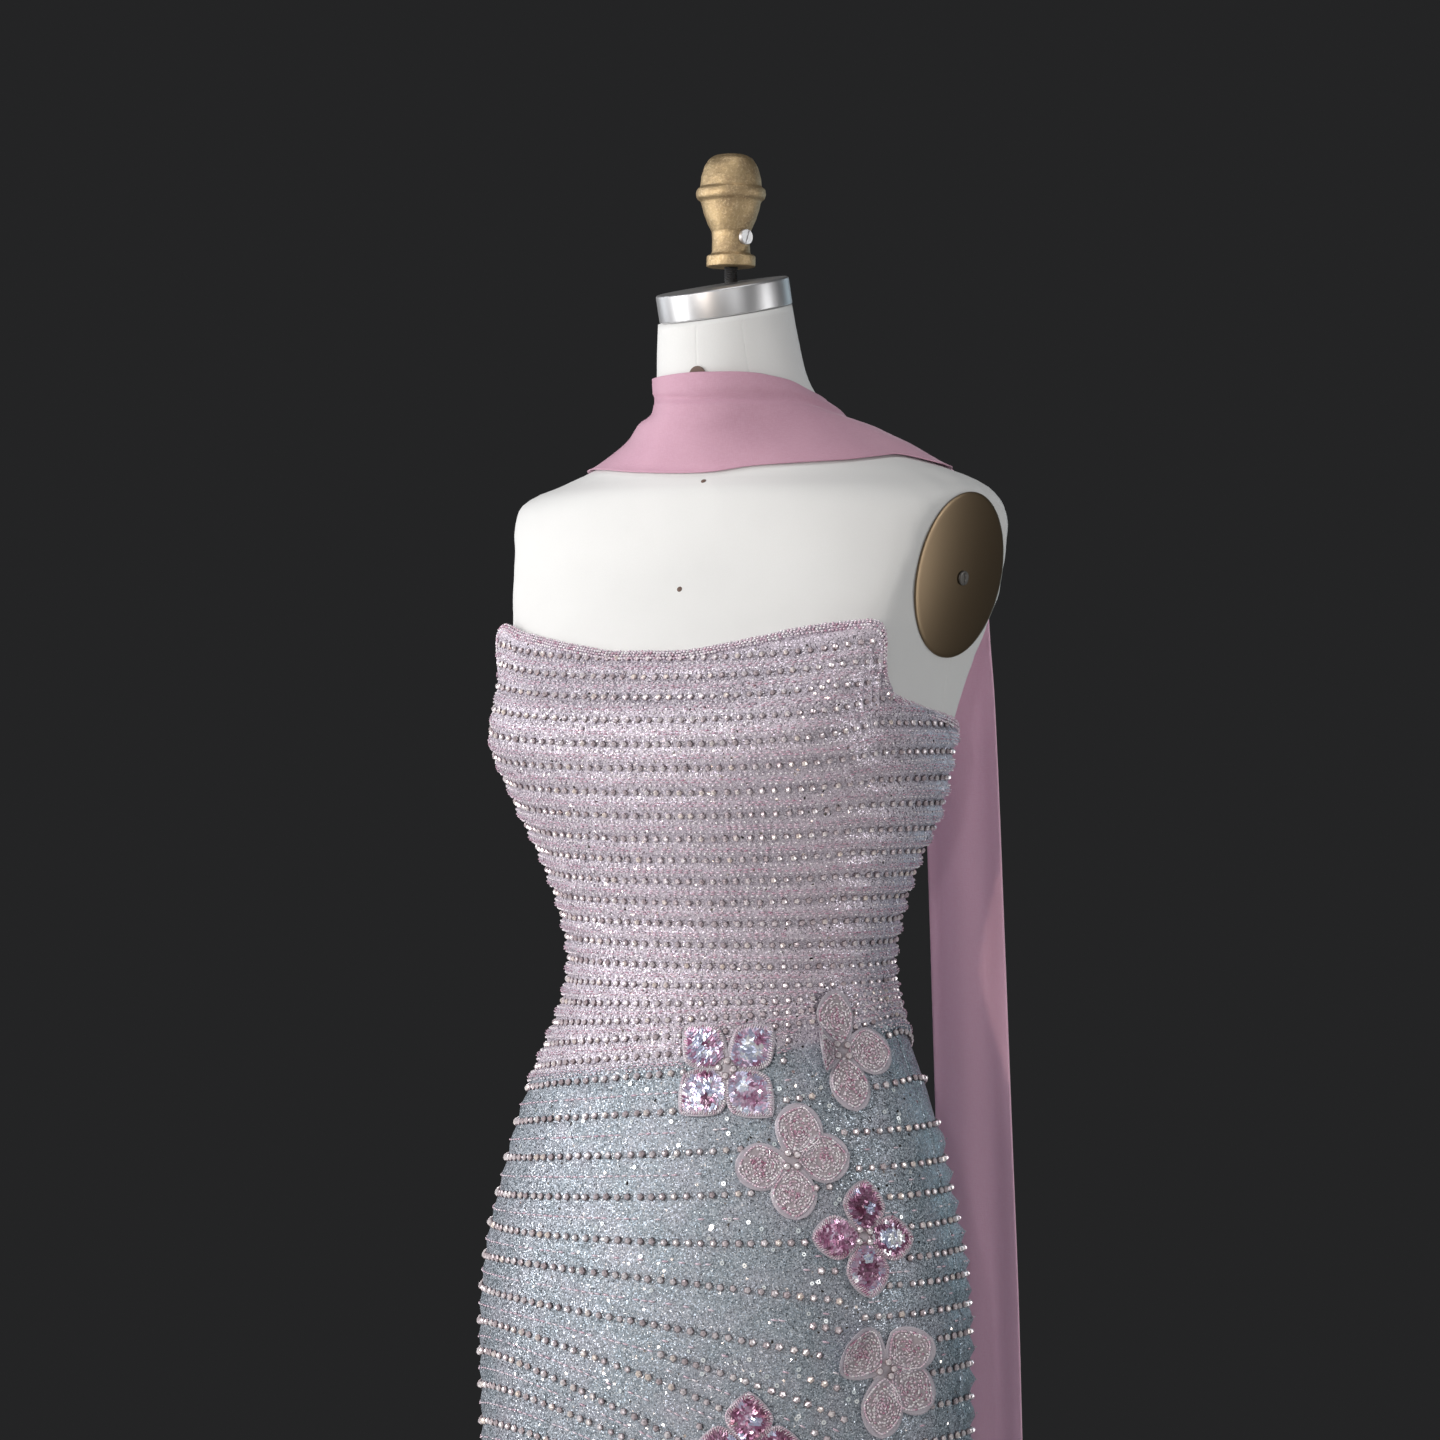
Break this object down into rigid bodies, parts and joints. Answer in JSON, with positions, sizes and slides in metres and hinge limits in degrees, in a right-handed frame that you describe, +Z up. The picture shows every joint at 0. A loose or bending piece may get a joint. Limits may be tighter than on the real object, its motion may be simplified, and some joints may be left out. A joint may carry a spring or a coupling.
{
  "type": "evening gown on a dress form",
  "caption": "Strapless floor-length beaded evening gown with flower appliques at one hip and a matching chiffon scarf, on a limbless dress form with a finial, arm plates and a round stand.",
  "frame": {"origin": "on the floor, under the middle of the stand's pole, which is the middle of the hem too", "axes": "+Z up; the gown and the form face -Y; the wearer's left side is +X"},
  "size_m": [0.457, 0.407, 1.6723],
  "materials": {
    "form_cover": "smooth off-white cover of a dress form, faint seams",
    "steel": "brushed, slightly cool",
    "old_brass": "rough cast, dark gold",
    "black_metal": "satin black",
    "bronze": "polished dark bronze",
    "brown_disc": "matt brown",
    "beaded_tulle": "lilac-pink above, icy silver-blue below, rows of crystals and pink beads",
    "beaded_flower": "pink and lilac beads and iridescent sequins",
    "pink_chiffon": "dusty pink crepe chiffon"
  },
  "bodies": {
    "root": {"armplate_left": "bronze", "armplate_right": "bronze", "armplate_screw_left": "steel", "armplate_screw_right": "steel", "finial": "old_brass", "finial_rod": "black_metal", "finial_screw": "steel", "flower_1": "beaded_flower", "flower_2": "beaded_flower", "flower_3": "beaded_flower", "flower_4": "beaded_flower", "flower_5": "beaded_flower", "flower_6": "beaded_flower", "form_torso": "form_cover", "gown_back_left": "beaded_tulle", "gown_back_right": "beaded_tulle", "gown_front": "beaded_tulle", "neck_cap": "steel", "neck_disc": "brown_disc", "scarf_neck": "pink_chiffon", "scarf_tail": "pink_chiffon", "stand_base": "black_metal", "stand_pole": "black_metal"}
  },
  "joints": []
}
